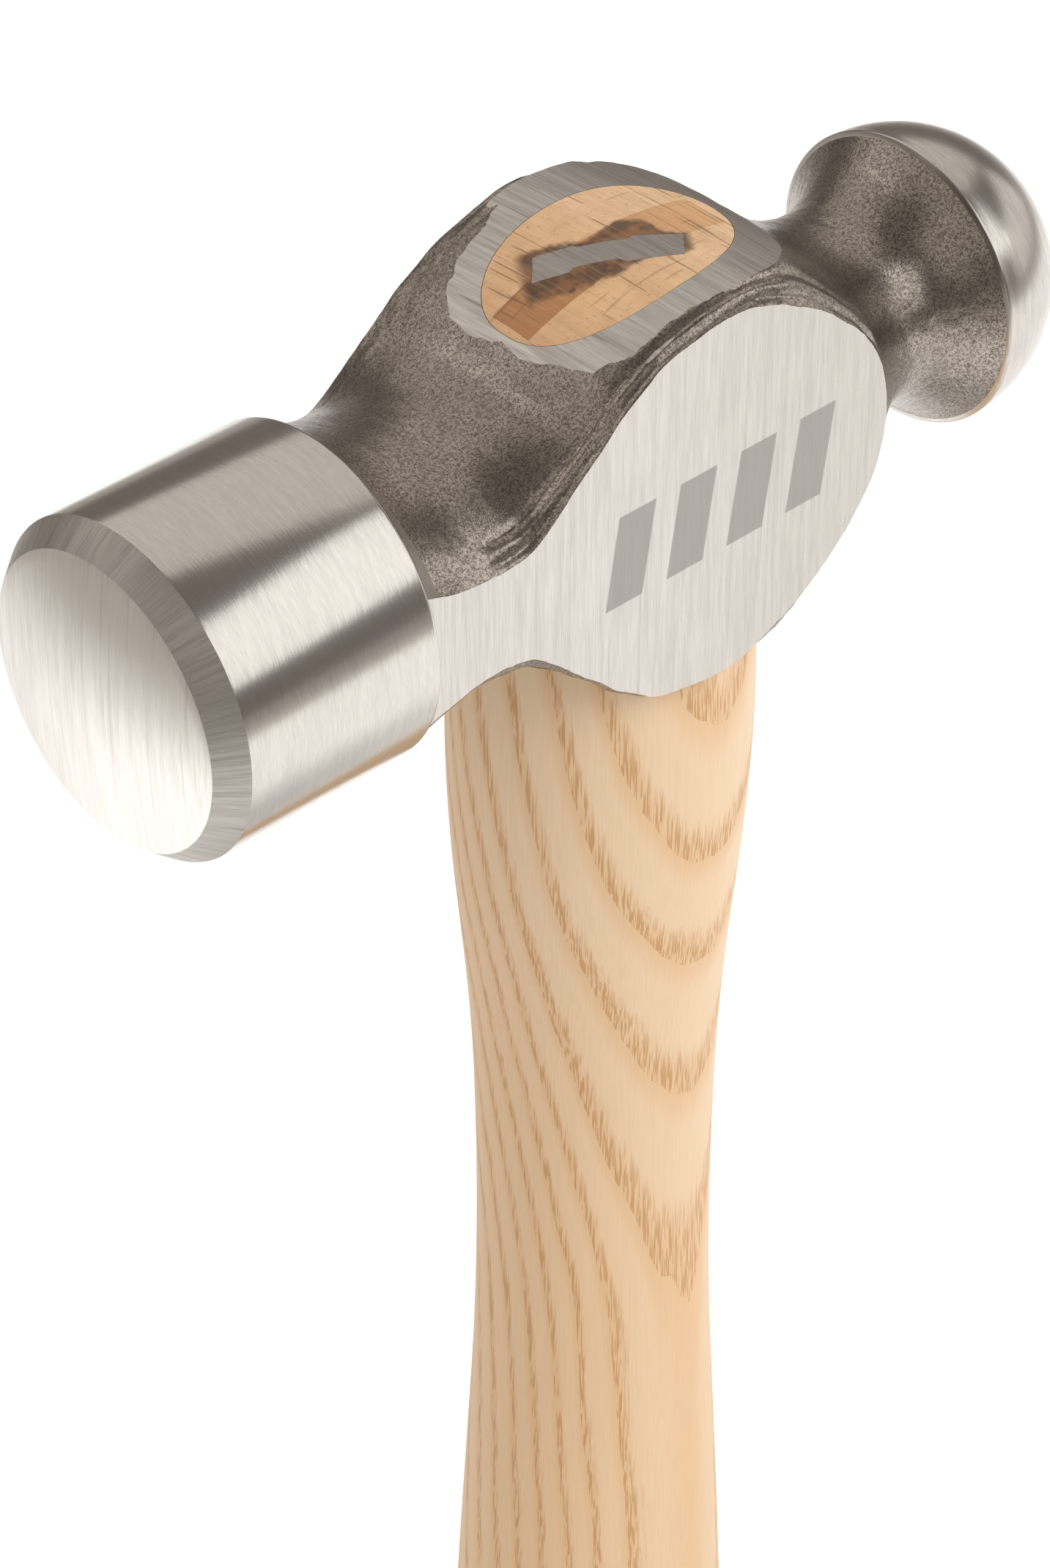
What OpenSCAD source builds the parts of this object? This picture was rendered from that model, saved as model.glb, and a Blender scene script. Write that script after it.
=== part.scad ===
// Ball peen hammer: forged steel head wedged on a turned ash handle.
// Millimetres. +Z runs up the handle, -X is the striking face, +X the ball peen.
// The origin is the centre of the flat end of the butt.

/* [Hammer] */

// Length from the end of the butt to the top of the head
overall_length = 340; // [320:5:380]

// Diameter of the round poll behind the striking face
poll_diameter = 30.2; // [29.6:0.2:30.6]

/* [Head] */

// Thickness of the head between its two ground cheeks
cheek_thickness = 27.2; // [26.4:0.1:28]

// Diameter of the crowned striking face, inside its chamfer
face_diameter = 26.4; // [24.4:0.2:27]

// How far the crowned face stands out at its middle
face_crown = 1.0; // [0.6:0.1:2]

// Radius of the polished dome of the ball peen
peen_radius = 13.75; // [13.7:0.05:14]

/* [Eye and wedges] */

// Length of the oval eye at the top, along the head
eye_length = 23.2; // [22:0.1:23.6]

// Width of the oval eye at the top, across the head
eye_width = 16.6; // [15.6:0.1:17.2]

// Thickness of the wooden wedge where it comes out on top
wood_wedge_thickness = 5.1; // [4:0.1:6]

// Thickness of the steel wedge where it comes out on top
steel_wedge_thickness = 3.1; // [2.4:0.1:3.4]

/* [Handle] */

// Depth of the grip at its fullest, along the head
grip_depth = 32; // [30:0.5:34]

// Width of the handle as a share of its depth
handle_flatness = 0.8; // [0.76:0.02:0.9]

/* [Hidden] */

$fn = 96;
eps = 0.01;

poll_radius = poll_diameter / 2;

// The top and the underside of the eye block are ground to one large round.
crown_radius = 1.916 * poll_radius;
crown_offset = 0.228 * poll_radius;
crown_height = 1.254 * poll_radius;
axis_height = overall_length - crown_height;

// Places along the head, from the handle's axis
poll_front = -3.446 * poll_radius;
poll_back = -2.131 * poll_radius;
face_edge = -3.607 * poll_radius;
peen_rim = 2.349 * poll_radius;
peen_centre = peen_rim - 0.014 * poll_radius;
crown_front = -0.89 * poll_radius;
crown_back = 1.02 * poll_radius;

ring_points = 40;
head_rings = 38;
handle_rings = 32;
eye_rings = 8;

// Forged sections along the head, in poll radii:
// place, half height, half width, squareness of the section
forging = [
    [-2.180, 0.950, 1.010, 2.0],
    [-1.950, 0.850, 0.995, 2.0],
    [-1.750, 0.790, 0.989, 2.0],
    [-1.550, 0.758, 0.990, 2.05],
    [-1.350, 0.750, 1.011, 2.2],
    [-1.150, 0.772, 1.100, 2.6],
    [-0.950, 0.828, 1.297, 3.0],
    [-0.840, 0.928, 1.381, 3.0],
    [-0.750, 1.002, 1.430, 3.0],
    [-0.600, 1.097, 1.370, 3.3],
    [-0.500, 1.130, 1.301, 4.2],
    [-0.200, 1.228, 1.219, 4.7],
    [0.100, 1.290, 1.147, 4.7],
    [0.400, 1.335, 1.052, 4.1],
    [0.600, 1.325, 1.030, 3.6],
    [0.750, 1.240, 1.058, 3.15],
    [0.850, 1.150, 1.071, 3.0],
    [0.950, 1.055, 1.066, 2.9],
    [1.050, 0.963, 1.071, 2.7],
    [1.150, 0.880, 1.023, 2.6],
    [1.250, 0.800, 0.966, 2.45],
    [1.340, 0.735, 0.890, 2.3],
    [1.500, 0.655, 0.770, 2.1],
    [1.700, 0.610, 0.670, 2.0],
    [1.900, 0.615, 0.635, 2.0],
    [2.080, 0.680, 0.680, 2.0],
    [2.230, 0.785, 0.785, 2.0],
    [2.349, 0.895, 0.895, 2.0]
];

// Half depth of the handle, in poll radii, against distance below the head's axis
shoulder = [
    [1.00, 0.955],
    [1.55, 0.985],
    [1.90, 0.990],
    [2.35, 0.978],
    [2.80, 0.951],
    [3.25, 0.909],
    [3.70, 0.866],
    [4.20, 0.829],
    [4.80, 0.807],
    [5.50, 0.798],
    [6.20, 0.805],
    [6.85, 0.826],
    [7.60, 0.868],
    [8.60, 0.925]
];

// The same for the grip, as a share of its fullest half depth, above the butt
grip = [
    [10.5, 0.965],
    [8.5, 0.995],
    [6.0, 1.000],
    [3.5, 0.980],
    [1.6, 0.945],
    [0.6, 0.915],
    [0.2, 0.880],
    [0.0, 0.800]
];

grip_half = grip_depth / 2 / poll_radius;
handle_profile = concat(
    [for (s = shoulder) [axis_height / poll_radius - s[0], s[1]]],
    [for (g = grip) [g[0], g[1] * grip_half]]
);
handle_rows = [for (i = [len(handle_profile) - 1:-1:0]) handle_profile[i]];

// Half length and half width of the eye, in poll radii, against height from the head's axis
eye_half = eye_length / 2 / poll_radius;
eye_side = eye_width / 2 / poll_radius;
eye_rows = [
    [-1.40, 0.975 * eye_half, 0.975 * eye_side],
    [-0.80, 0.915 * eye_half, 0.915 * eye_side],
    [-0.10, 0.875 * eye_half, 0.875 * eye_side],
    [0.60, 0.935 * eye_half, 0.935 * eye_side],
    [1.40, 1.010 * eye_half, 1.010 * eye_side]
];
eye_squareness = 2.3;

wood_wedge_depth = 1.75 * poll_radius;
wood_wedge_turn = -3;
wood_wedge_shift = -0.02 * poll_radius;
wood_wedge_front = -0.70 * poll_radius;
wood_wedge_back = 0.69 * poll_radius;
steel_wedge_depth = 1.25 * poll_radius;
steel_wedge_turn = -34.5;
steel_wedge_place = [-0.03, -0.035, 0] * poll_radius;
steel_wedge_half = 0.43 * poll_radius;
wedge_tip = 0.6;
wedge_spare = 4;

// Index of the row that a place falls behind
function behind(rows, x) = max([for (k = [0:len(rows) - 2]) if (k == 0 || rows[k][0] <= x) k]);

// Slope of the table at row k
function rise(rows, k) =
    k == 0 ? (rows[1] - rows[0]) / (rows[1][0] - rows[0][0])
    : k == len(rows) - 1 ? (rows[k] - rows[k - 1]) / (rows[k][0] - rows[k - 1][0])
    : let(
        before = rows[k][0] - rows[k - 1][0],
        after = rows[k + 1][0] - rows[k][0],
        a = (rows[k] - rows[k - 1]) / before,
        b = (rows[k + 1] - rows[k]) / after
    )
    (a * after + b * before) / (before + after);

// Smooth curve through the rows of a table
function smooth_row(rows, x) =
    let(
        k = behind(rows, x),
        step = rows[k + 1][0] - rows[k][0],
        t = (x - rows[k][0]) / step
    )
    (2 * t ^ 3 - 3 * t ^ 2 + 1) * rows[k]
    + (t ^ 3 - 2 * t ^ 2 + t) * step * rise(rows, k)
    + (3 * t ^ 2 - 2 * t ^ 3) * rows[k + 1]
    + (t ^ 3 - t ^ 2) * step * rise(rows, k + 1);

// Rounded oval of half sizes a and b; squareness 2 is an ellipse
function oval(a, b, squareness) = [
    for (i = [0:ring_points - 1])
        let(
            u = 360 * i / ring_points,
            r = (abs(cos(u) / a) ^ squareness + abs(sin(u) / b) ^ squareness) ^ (-1 / squareness)
        )
        [r * cos(u), r * sin(u)]
];

// Skin over a row of rings, closed at both ends
module skin(rings) {
    n = len(rings[0]);
    last = len(rings) - 1;
    sides = [
        for (i = [0:last - 1])
            for (j = [0:n - 1])
                let(a = i * n + j, b = i * n + (j + 1) % n)
                each [[a, b + n, b], [a, a + n, b + n]]
    ];
    ends = [
        [for (j = [0:n - 1]) j],
        [for (j = [n - 1:-1:0]) last * n + j]
    ];
    polyhedron(points = [for (r = rings) each r], faces = concat(sides, ends));
}

// The forged middle of the head, before grinding
module forged_middle() {
    first = forging[0][0];
    span = forging[len(forging) - 1][0] - first;
    skin([
        for (i = [0:head_rings])
            let(s = smooth_row(forging, first + span * i / head_rings))
            [for (p = oval(s[2], s[1], s[3])) [s[0], p[0], p[1]] * poll_radius]
    ]);
}

// What grinding takes off one end of the eye block, leaving a large round
module crown_waste() {
    difference() {
        translate([crown_front, -poll_diameter, 0.6 * poll_radius])
            cube([crown_back - crown_front, 2 * poll_diameter, poll_diameter]);
        crown_round();
    }
}

module crown_round() {
    translate([crown_offset, 0, crown_height - crown_radius])
        rotate([90, 0, 0])
            cylinder(r = crown_radius, h = 5 * poll_diameter, center = true);
}

// Round poll, its chamfer and its crowned striking face
module poll() {
    face_radius = face_diameter / 2;
    crown_sphere = (face_radius ^ 2 + face_crown ^ 2) / (2 * face_crown);
    rotate([0, 90, 0])
        rotate_extrude()
            polygon([
                [0, face_edge - eps],
                [face_radius, face_edge],
                [poll_radius, poll_front],
                [poll_radius, poll_back],
                [0, poll_back]
            ]);
    intersection() {
        translate([face_edge - face_crown + crown_sphere, 0, 0])
            sphere(r = crown_sphere);
        translate([face_edge - 2 * face_crown, 0, 0])
            rotate([0, 90, 0])
                cylinder(r = face_radius, h = 2 * face_crown);
    }
}

// Polished dome of the ball peen
module peen() {
    intersection() {
        translate([peen_centre, 0, 0])
            sphere(r = peen_radius);
        translate([peen_centre, -poll_diameter, -poll_diameter])
            cube(2 * poll_diameter);
    }
}

module eye_shape() {
    low = eye_rows[0][0];
    span = eye_rows[len(eye_rows) - 1][0] - low;
    skin([
        for (i = [0:eye_rings])
            let(s = smooth_row(eye_rows, low + span * i / eye_rings))
            [for (p = oval(s[1], s[2], eye_squareness)) [p[0], p[1], s[0]] * poll_radius]
    ]);
}

// Everything on the head is drawn about the head's own axis and lifted here.
module at_head() {
    translate([0, 0, axis_height])
        children();
}

module head() {
    color("silver")
        at_head()
            difference() {
                union() {
                    intersection() {
                        difference() {
                            forged_middle();
                            crown_waste();
                            mirror([0, 0, 1])
                                crown_waste();
                        }
                        cube([8 * poll_radius, cheek_thickness, 4 * poll_radius], center = true);
                    }
                    poll();
                    peen();
                }
                eye_shape();
            }
}

// The stick below the head, cut on top to sit against the head's underside
module stick() {
    intersection() {
        skin([
            for (i = [0:handle_rings])
                let(
                    top = handle_rows[len(handle_rows) - 1][0],
                    s = smooth_row(handle_rows, top * (1 - cos(180 * i / handle_rings)) / 2)
                )
                [for (p = oval(s[1], s[1] * handle_flatness, 2)) [p[0], p[1], s[0]] * poll_radius]
        ]);
        difference() {
            translate([-poll_diameter, -poll_diameter, 0])
                cube([2 * poll_diameter, 2 * poll_diameter, axis_height]);
            at_head()
                mirror([0, 0, 1])
                    crown_round();
        }
    }
}

module tenon() {
    at_head()
        intersection() {
            eye_shape();
            crown_round();
        }
}

module handle() {
    color("burlywood")
        difference() {
            union() {
                stick();
                tenon();
            }
            wood_wedge_blank();
            steel_wedge_blank();
        }
}

// Wooden wedge before it is ground flush: as wide as the kerf is long, tapering to a thin edge
module wood_wedge_blank() {
    half = wood_wedge_thickness / 2;
    at_head()
        rotate([90, 0, 90 + wood_wedge_turn])
            translate([wood_wedge_shift, crown_height, wood_wedge_front])
                linear_extrude(height = wood_wedge_back - wood_wedge_front)
                    wedge_profile(half, wood_wedge_depth);
}

// Side view of a wedge: full thickness at the top, running on above it, thin at the bottom
module wedge_profile(half, depth) {
    polygon([
        [-wedge_tip / 2, -depth],
        [wedge_tip / 2, -depth],
        [half, 0],
        [half, wedge_spare],
        [-half, wedge_spare],
        [-half, 0]
    ]);
}

// Plan of the steel wedge: a bar with steps broken into its flanks
module steel_wedge_plan() {
    w = steel_wedge_thickness / 2;
    e = steel_wedge_half;
    polygon([
        [-e, -0.9 * w],
        [-0.52 * e, -w],
        [-0.46 * e, -0.72 * w],
        [0.10 * e, -0.78 * w],
        [0.22 * e, -1.15 * w],
        [0.94 * e, -1.1 * w],
        [e, 0.9 * w],
        [0.35 * e, 1.05 * w],
        [0.28 * e, 0.85 * w],
        [-0.35 * e, 0.9 * w],
        [-0.42 * e, 1.08 * w],
        [-0.92 * e, w]
    ]);
}

// Steel wedge before it is ground flush, driven slantwise across the wooden one
module steel_wedge_blank() {
    at_head()
        translate(steel_wedge_place)
            rotate([0, 0, steel_wedge_turn])
                intersection() {
                    translate([0, 0, crown_height - steel_wedge_depth])
                        linear_extrude(height = steel_wedge_depth + wedge_spare)
                            steel_wedge_plan();
                    rotate([90, 0, 90])
                        translate([0, crown_height, -poll_radius])
                            linear_extrude(height = poll_diameter)
                                wedge_profile(0.7 * steel_wedge_thickness, steel_wedge_depth + 1);
                }
}

module wood_wedge() {
    color("peru")
        intersection() {
            difference() {
                wood_wedge_blank();
                steel_wedge_blank();
            }
            at_head()
                crown_round();
        }
}

module steel_wedge() {
    color("gray")
        intersection() {
            steel_wedge_blank();
            at_head()
                crown_round();
        }
}

head();
handle();
wood_wedge();
steel_wedge();
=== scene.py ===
import math

import bmesh
import bpy
import numpy as np
from mathutils import Matrix, Vector


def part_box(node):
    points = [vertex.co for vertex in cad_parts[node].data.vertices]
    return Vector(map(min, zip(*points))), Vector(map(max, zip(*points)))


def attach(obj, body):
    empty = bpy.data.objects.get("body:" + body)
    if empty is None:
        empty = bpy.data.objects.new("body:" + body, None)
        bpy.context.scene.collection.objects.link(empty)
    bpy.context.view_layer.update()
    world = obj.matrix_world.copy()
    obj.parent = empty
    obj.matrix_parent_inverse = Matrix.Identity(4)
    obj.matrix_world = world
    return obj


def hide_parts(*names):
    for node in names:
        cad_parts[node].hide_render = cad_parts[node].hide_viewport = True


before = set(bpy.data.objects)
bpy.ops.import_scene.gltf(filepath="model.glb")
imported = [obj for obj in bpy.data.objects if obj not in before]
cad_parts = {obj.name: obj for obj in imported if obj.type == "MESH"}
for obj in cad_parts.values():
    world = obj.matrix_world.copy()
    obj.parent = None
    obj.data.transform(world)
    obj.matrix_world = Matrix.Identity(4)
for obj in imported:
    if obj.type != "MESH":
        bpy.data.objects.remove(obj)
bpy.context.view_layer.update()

# ---------------------------------------------------------------------------
# Sizes. The head is drawn in poll radii about its own axis, then scaled.
# ---------------------------------------------------------------------------

head_low, head_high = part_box("head")
_, handle_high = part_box("handle")

POLL = head_high.y
CROWN_TOP = 1.254
AXIS = head_high.z - CROWN_TOP * POLL
CHEEK = 0.901
CROWN_RADIUS = 1.916
CROWN_MIDDLE = 0.228
CROWN_FRONT = -0.89
CROWN_BACK = 1.02

POLL_BACK = -2.131
POLL_FRONT = -3.446
FACE_EDGE = -3.607
FACE_RADIUS = 0.874
FACE_TIP = head_low.x / POLL + 0.002
PEEN_CENTRE = 2.335
PEEN_RADIUS = head_high.x / POLL - PEEN_CENTRE - 0.002
PEEN_RIM = 2.347

# Etched bars, in poll radii along and up the cheek
BAR_START = -0.80
BAR_END = 0.86
BAR_PITCH = 0.46
BAR_SHARE = 0.60
BAR_FOOT = -0.32
BAR_HEAD = 0.26
BAR_SLANT = 0.16

MM = 0.001
GAP = 0.05 * MM

# How far the block is rounded off on its far side, as a share of its height
FAR_SINK = 0.065

# The ground top leans away on the far side: place across the head, and drop there
CROWN_LEAN = ((-2.0, 0.0), (0.0, 0.0), (2.0, 0.12))

# The rolled bead beside the cheeks and its two grooves: place across, width, height
BEAD = (
    (0.824, 0.024, 0.018),
    (0.776, 0.014, -0.012),
    (0.870, 0.012, -0.010),
)

# Places across the head where a forged section has points, closest together at the bead
SECTION_PLACES = (
    0, .08, .16, .24, .32, .40, .48, .55, .61, .66, .70, .73, .755, .768, .779, .790,
    .803, .815, .826, .837, .848, .858, .868, .877, .886, .894, .905,
)
SECTION_COUNT = 194
FLANK_POINTS = 10
TURNED_STEPS = 180
OVAL_POINTS = 128
HANDLE_POINTS = 112

# Forged sections along the head: place, half height, half width, squareness
FORGING = (
    (-2.180, 0.950, 1.010, 2.00),
    (-1.950, 0.850, 1.011, 1.90),
    (-1.750, 0.790, 1.022, 1.80),
    (-1.550, 0.758, 1.044, 1.75),
    (-1.350, 0.746, 1.095, 1.80),
    (-1.150, 0.764, 1.281, 2.00),
    (-1.050, 0.786, 1.361, 2.30),
    (-0.950, 0.826, 1.429, 2.60),
    (-0.840, 0.915, 1.433, 2.80),
    (-0.750, 0.992, 1.397, 3.10),
    (-0.660, 1.060, 1.306, 3.40),
    (-0.600, 1.090, 1.279, 3.70),
    (-0.540, 1.120, 1.226, 4.25),
    (-0.500, 1.135, 1.245, 4.50),
    (-0.200, 1.228, 1.219, 4.70),
    (0.100, 1.290, 1.147, 4.70),
    (0.400, 1.335, 1.052, 4.10),
    (0.600, 1.325, 1.030, 3.60),
    (0.750, 1.240, 1.058, 3.15),
    (0.850, 1.150, 1.071, 3.00),
    (0.950, 1.055, 1.066, 2.90),
    (1.050, 0.963, 1.071, 2.70),
    (1.150, 0.880, 1.023, 2.60),
    (1.250, 0.800, 0.966, 2.45),
    (1.340, 0.735, 0.890, 2.30),
    (1.500, 0.655, 0.770, 2.10),
    (1.700, 0.610, 0.670, 2.00),
    (1.900, 0.615, 0.635, 2.00),
    (2.080, 0.680, 0.680, 2.00),
    (2.230, 0.785, 0.785, 2.00),
    (2.349, 0.900, 0.900, 2.00),
)

# Half depth of the handle against distance below the head's axis, in poll radii
SHOULDER = (
    (1.00, 0.955), (1.55, 0.985), (1.90, 0.990), (2.35, 0.978), (2.80, 0.951),
    (3.25, 0.909), (3.70, 0.866), (4.20, 0.829), (4.80, 0.807), (5.50, 0.798),
    (6.20, 0.805), (6.85, 0.826), (7.60, 0.868), (8.60, 0.925),
)

# The same for the grip, above the butt, as a share of its fullest half depth
GRIP = (
    (10.5, 0.965), (8.5, 0.995), (6.0, 1.000), (3.5, 0.980),
    (1.6, 0.945), (0.6, 0.915), (0.2, 0.880), (0.0, 0.800),
)
GRIP_HALF = handle_high.x / POLL - 0.003
FLATNESS = handle_high.y / handle_high.x

# The eye: height from the head's axis, half length, half width
EYE = (
    (-1.40, 0.749, 0.536),
    (-0.80, 0.703, 0.503),
    (-0.10, 0.672, 0.481),
    (0.60, 0.718, 0.514),
    (1.40, 0.776, 0.555),
)
EYE_SQUARENESS = 2.3

WOOD_WEDGE_TURN = -3
WOOD_WEDGE_ENDS = (-0.70, 0.69)
WOOD_WEDGE_SHIFT = -0.02
WOOD_WEDGE_HALF = 0.169
WOOD_WEDGE_DEPTH = 1.75
STEEL_WEDGE_TURN = -34.5
STEEL_WEDGE_PLACE = (-0.03, -0.035)
STEEL_WEDGE_HALF = 0.43
STEEL_WEDGE_WIDE = 0.1026
STEEL_WEDGE_DEPTH = 1.25


# ---------------------------------------------------------------------------
# Modelling helpers
# ---------------------------------------------------------------------------

def smooth_row(rows, x):
    """A smooth curve through the rows of a table."""
    rows = np.asarray(rows, float)
    k = int(np.clip(np.searchsorted(rows[:, 0], x, side="right") - 1, 0, len(rows) - 2))

    def rise(i):
        if i == 0 or i == len(rows) - 1:
            j = min(i, len(rows) - 2)
            return (rows[j + 1] - rows[j]) / (rows[j + 1][0] - rows[j][0])
        before = rows[i][0] - rows[i - 1][0]
        after = rows[i + 1][0] - rows[i][0]
        a = (rows[i] - rows[i - 1]) / before
        b = (rows[i + 1] - rows[i]) / after
        return (a * after + b * before) / (before + after)

    step = rows[k + 1][0] - rows[k][0]
    t = (x - rows[k][0]) / step
    return (
        (2 * t**3 - 3 * t**2 + 1) * rows[k]
        + (t**3 - 2 * t**2 + t) * step * rise(k)
        + (3 * t**2 - 2 * t**3) * rows[k + 1]
        + (t**3 - t**2) * step * rise(k + 1)
    )


def ease(a, b, x):
    """0 below a, 1 above b, smooth between."""
    t = np.clip((x - a) / (b - a), 0, 1)
    return t * t * (3 - 2 * t)


def clear():
    bpy.ops.object.select_all(action="DESELECT")


def take(piece):
    clear()
    piece.select_set(True)
    bpy.context.view_layer.objects.active = piece


def editing(piece, mode="VERT"):
    take(piece)
    bpy.ops.object.mode_set(mode="EDIT")
    bpy.ops.mesh.select_mode(type=mode)


def done():
    bpy.ops.object.mode_set(mode="OBJECT")


def skin(name, rings):
    """A tube over rings of equal length, rolled from a grid and closed at both ends."""
    rings = np.asarray(rings, float)
    count, around, _ = rings.shape
    clear()
    bpy.ops.mesh.primitive_grid_add(x_subdivisions=around, y_subdivisions=count - 1, size=1)
    piece = bpy.context.object
    piece.name = name
    closed = np.concatenate([rings, rings[:, :1]], axis=1)
    piece.data.vertices.foreach_set("co", closed.reshape(-1))
    piece.data.update()
    editing(piece)
    bpy.ops.mesh.select_all(action="SELECT")
    bpy.ops.mesh.remove_doubles(threshold=0.0005 * MM)
    bpy.ops.mesh.select_all(action="DESELECT")
    bpy.ops.mesh.select_non_manifold()
    bpy.ops.mesh.edge_face_add()
    bpy.ops.mesh.select_all(action="SELECT")
    bpy.ops.mesh.normals_make_consistent(inside=False)
    done()
    return piece


def outline_solid(name, points, lift):
    """A flat outline pulled straight along lift into a solid."""
    clear()
    bpy.ops.mesh.primitive_circle_add(vertices=len(points), radius=1, fill_type="NGON")
    piece = bpy.context.object
    piece.name = name
    for v, p in zip(piece.data.vertices, points):
        v.co = p
    editing(piece, "FACE")
    bpy.ops.mesh.select_all(action="SELECT")
    bpy.ops.mesh.extrude_region_move(TRANSFORM_OT_translate={"value": lift})
    bpy.ops.mesh.select_all(action="SELECT")
    bpy.ops.mesh.normals_make_consistent(inside=False)
    done()
    return piece


def turned(name, profile, steps):
    """A profile of (x, radius) spun about the head's axis; both ends lie on the axis."""
    clear()
    bpy.ops.mesh.primitive_circle_add(vertices=len(profile), radius=1, fill_type="NOTHING")
    piece = bpy.context.object
    piece.name = name
    for v, (x, r) in zip(piece.data.vertices, profile):
        v.co = (x, 0, r)
    editing(piece, "EDGE")
    bpy.ops.mesh.select_all(action="SELECT")
    bpy.ops.mesh.spin(
        steps=steps, angle=2 * math.pi, center=(0, 0, 0), axis=(1, 0, 0), use_auto_merge=True
    )
    bpy.ops.mesh.select_all(action="SELECT")
    bpy.ops.mesh.remove_doubles(threshold=0.001 * MM)
    bpy.ops.mesh.dissolve_degenerate(threshold=0.001 * MM)
    bpy.ops.mesh.select_all(action="SELECT")
    bpy.ops.mesh.normals_make_consistent(inside=False)
    done()
    return piece


def combine(piece, other, how):
    """Joins, cuts or meets two solids and drops the second."""
    take(piece)
    tool = piece.modifiers.new("combine", "BOOLEAN")
    tool.operation = how
    tool.solver = "EXACT"
    tool.material_mode = "TRANSFER"
    tool.object = other
    bpy.ops.object.modifier_apply(modifier=tool.name)
    bpy.data.objects.remove(other, do_unlink=True)


def slice_off(piece, point, normal):
    """Cuts the piece flat and keeps the side behind the normal."""
    editing(piece)
    bpy.ops.mesh.select_all(action="SELECT")
    bpy.ops.mesh.bisect(
        plane_co=point, plane_no=normal, use_fill=True, clear_outer=True, clear_inner=False,
        threshold=0.0001 * MM,
    )
    done()


def roughen(piece, name, grain, depth, group=None):
    """Presses a cloudy unevenness into the surface."""
    texture = bpy.data.textures.new(name, "CLOUDS")
    texture.noise_scale = grain
    texture.noise_depth = 2
    take(piece)
    press = piece.modifiers.new(name, "DISPLACE")
    press.texture = texture
    press.texture_coords = "LOCAL"
    press.strength = depth
    press.mid_level = 0.5
    if group:
        press.vertex_group = group
    bpy.ops.object.modifier_apply(modifier=press.name)


def lifted(piece):
    """Puts a piece drawn about the head's axis at its height."""
    piece.data.transform(Matrix.Translation((0, 0, AXIS)))
    piece.data.update()
    return piece


def crown_line(side, first, last, count=160):
    """Points of the ground round on top or underneath, in poll radii."""
    low = CROWN_TOP - CROWN_RADIUS
    points = []
    for i in range(count + 1):
        x = first + (last - first) * i / count
        z = low + math.sqrt(CROWN_RADIUS**2 - (x - CROWN_MIDDLE) ** 2)
        points.append((x, z * side))
    return points


def across_head(name, side, corners):
    """A side view carried across the head; on top it leans as the ground crown does."""
    return skin(name, [
        [(x * POLL, y * POLL, (z - drop * (side > 0)) * POLL) for x, z in corners]
        for y, drop in CROWN_LEAN
    ])


def crown_cutter(side):
    """What grinding takes off one end of the eye block."""
    line = crown_line(side, CROWN_FRONT, CROWN_BACK)
    far = 2.2 * side
    return across_head("crown_cutter", side, line + [(CROWN_BACK, far), (CROWN_FRONT, far)])


def under_crown(side):
    """A solid that ends exactly at the ground round."""
    line = crown_line(side, -1.2, 1.2)
    return across_head("under_crown", side, line + [(2, -side * 3), (-2, -side * 3)])


def oval(a, b, squareness, count):
    u = np.linspace(0, 2 * math.pi, count, endpoint=False)
    r = (np.abs(np.cos(u) / a) ** squareness + np.abs(np.sin(u) / b) ** squareness)
    r = r ** (-1 / squareness)
    return r * np.cos(u), r * np.sin(u)


# ---------------------------------------------------------------------------
# Head
# ---------------------------------------------------------------------------

def bead(x, y):
    """Height of the rolled bead and its two grooves beside the ground cheeks."""
    there = ease(-1.75, -1.5, x) * (1 - ease(1.20, 1.36, x))
    there = np.where(y > 0, there * ease(-0.35, 0.0, x), there)
    y = np.abs(y)
    height = sum(rise * np.exp(-(((y - place) / width) ** 2)) for place, width, rise in BEAD)
    return there * height


def forging_ring(x):
    """One forged section, closely divided where the bead runs."""
    _, az, ay, n = smooth_row(FORGING, x)
    levels = np.array(SECTION_PLACES) * min(1, 0.97 * ay / SECTION_PLACES[-1])
    top = az * (1 - (levels / ay) ** n) ** (1 / n)
    flank = top[-1] * np.linspace(1, 0, FLANK_POINTS)[1:]
    side = ay * (1 - (flank / az) ** n) ** (1 / n)
    y = np.concatenate([levels, side])
    z = np.concatenate([top, flank])
    ny = (np.abs(y) / ay) ** (n - 1) / ay
    nz = (np.abs(z) / az) ** (n - 1) / az
    size = np.hypot(ny, nz)
    sides = []
    for side in (1, -1):
        lift = bead(x, y * side) / size
        sink = FAR_SINK * ease(0.2, 0.9, y * side)
        sink = sink * ease(-1.9, -1.2, x) * (1 - ease(-0.5, 0.2, x))
        sides.append(list(zip(side * (y + lift * ny), (z + lift * nz) * (1 - sink))))
    far, near = [quarter + [(b, -c) for b, c in quarter[-2::-1]] for quarter in sides]
    ring = far + near[-2:0:-1]
    return [(x * POLL, b * POLL, c * POLL) for b, c in ring]


def build_forging():
    """The forged middle: the poll's neck, the eye block and the peen's neck."""
    first, last = FORGING[0][0], FORGING[-1][0]
    places = np.linspace(first, last, SECTION_COUNT)
    piece = skin("forging", [forging_ring(x) for x in places])
    dress(piece, forged_steel)
    away = piece.vertex_groups.new(name="scale")
    for v in piece.data.vertices:
        x = v.co.x / POLL
        share = ease(-2.06, -1.98, x) * (1 - ease(2.25, 2.34, x))
        away.add([v.index], float(share), "REPLACE")
    roughen(piece, "dents", 5.5 * MM, 0.20 * MM, "scale")
    roughen(piece, "scale_pits", 0.9 * MM, 0.13 * MM, "scale")
    for side in (-1, 1):
        slice_off(piece, (0, side * CHEEK * POLL, 0), (0, side, 0))
    for side in (-1, 1):
        cutter = crown_cutter(side)
        dress(cutter, crown_steel)
        combine(piece, cutter, "DIFFERENCE")
    return piece


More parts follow.
